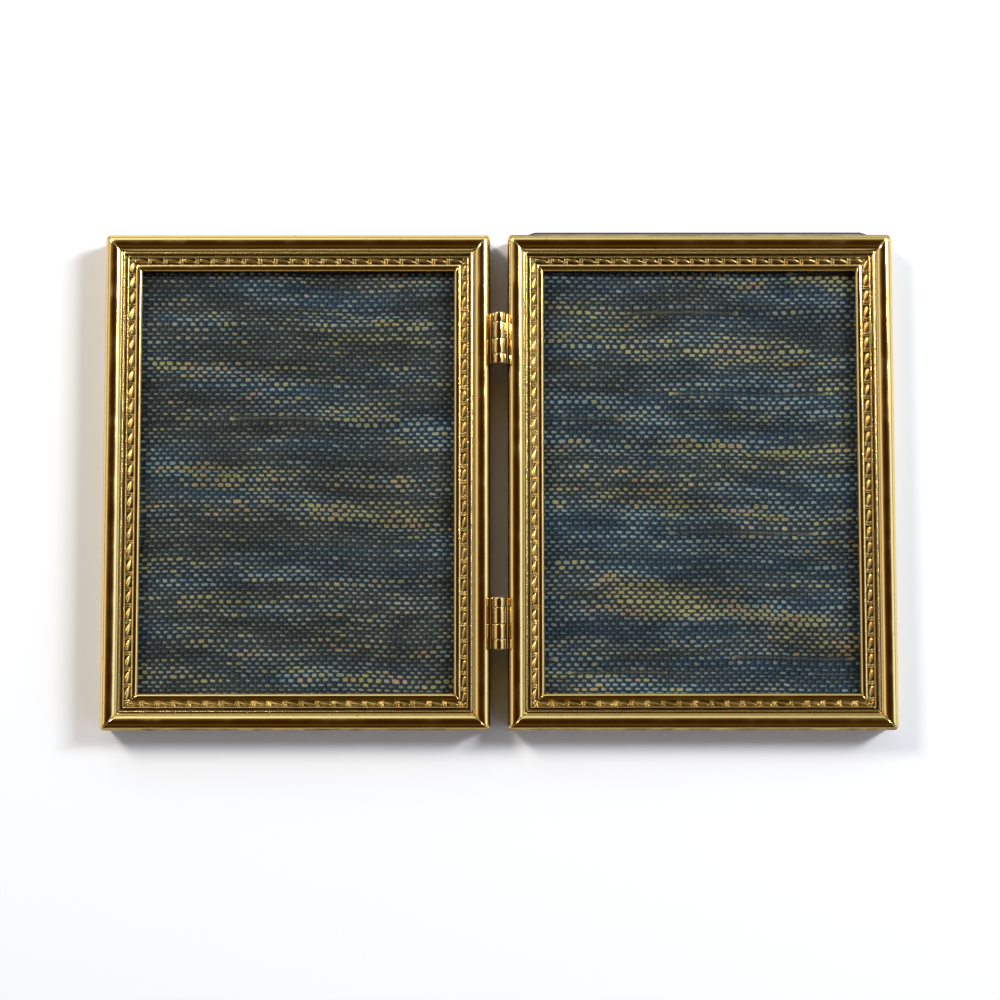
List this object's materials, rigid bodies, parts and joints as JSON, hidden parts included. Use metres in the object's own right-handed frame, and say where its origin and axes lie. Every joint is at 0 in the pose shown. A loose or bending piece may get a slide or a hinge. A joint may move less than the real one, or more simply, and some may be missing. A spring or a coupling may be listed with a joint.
{
  "type": "hinged double photo frame",
  "caption": "Two small brass photo frames joined side by side by barrel hinges, with glass, cloth-covered inserts and slide-in backs.",
  "frame": {"origin": "centre of the part's outline at the back faces of the frames, lying open and flat on its back; the hinge axis is 8.15 mm above it along Y", "axes": "+Z out of the glass towards the viewer, +Y to the top of the frames, +X to the right seen from the front. To stand it on a shelf, turn it 90 degrees about X so that -Y faces down, and fold the right frame forward by 40 to 90 degrees."},
  "size_m": [0.172, 0.1094, 0.0094],
  "materials": {
    "rail_brass": "stamped and rolled sheet, polished, aged in the hollows",
    "key_brass": "plain cut strip",
    "hinge_brass": "rolled strip, satin",
    "pane_glass": "clear, polished",
    "greyboard": "plain greyboard",
    "woven_cloth": "coarse slubbed plain weave, slate blue with cream and tan wefts",
    "velvet": "short dark brown velvet"
  },
  "bodies": {
    "left_frame": {"left_top_rail": "rail_brass", "left_bottom_rail": "rail_brass", "left_outer_rail": "rail_brass", "left_hinge_rail": "rail_brass", "left_corner_keys": "key_brass", "left_glass": "pane_glass", "upper_hinge_left_leaf": "hinge_brass", "upper_hinge_pin": "hinge_brass", "lower_hinge_left_leaf": "hinge_brass", "lower_hinge_pin": "hinge_brass"},
    "right_frame": {"right_top_rail": "rail_brass", "right_bottom_rail": "rail_brass", "right_outer_rail": "rail_brass", "right_hinge_rail": "rail_brass", "right_corner_keys": "key_brass", "right_glass": "pane_glass", "upper_hinge_right_leaf": "hinge_brass", "lower_hinge_right_leaf": "hinge_brass"},
    "left_back": {"left_back_board": "greyboard", "left_back_velvet": "velvet"},
    "left_insert": {"left_insert_card": "greyboard", "left_insert_cloth": "woven_cloth"},
    "right_back": {"right_back_board": "greyboard", "right_back_velvet": "velvet"},
    "right_insert": {"right_insert_card": "greyboard", "right_insert_cloth": "woven_cloth"}
  },
  "joints": [
    {"name": "fold", "type": "hinge", "parent": "left_frame", "child": "right_frame", "pos_m": [0, -0.0007, 0.00815], "axis": [0, -1, 0], "range_deg": [-24, 180]},
    {"name": "left_back_slide", "type": "slide", "parent": "left_frame", "child": "left_back", "axis": [0, 1, 0], "range_m": [0, 0.106]},
    {"name": "right_back_slide", "type": "slide", "parent": "right_frame", "child": "right_back", "axis": [0, 1, 0], "range_m": [-0.0016, 0.1044]},
    {"name": "left_insert_slide", "type": "slide", "parent": "left_frame", "child": "left_insert", "axis": [0, 1, 0], "range_m": [0, 0.106]},
    {"name": "right_insert_slide", "type": "slide", "parent": "right_frame", "child": "right_insert", "axis": [0, 1, 0], "range_m": [0, 0.106]}
  ]
}
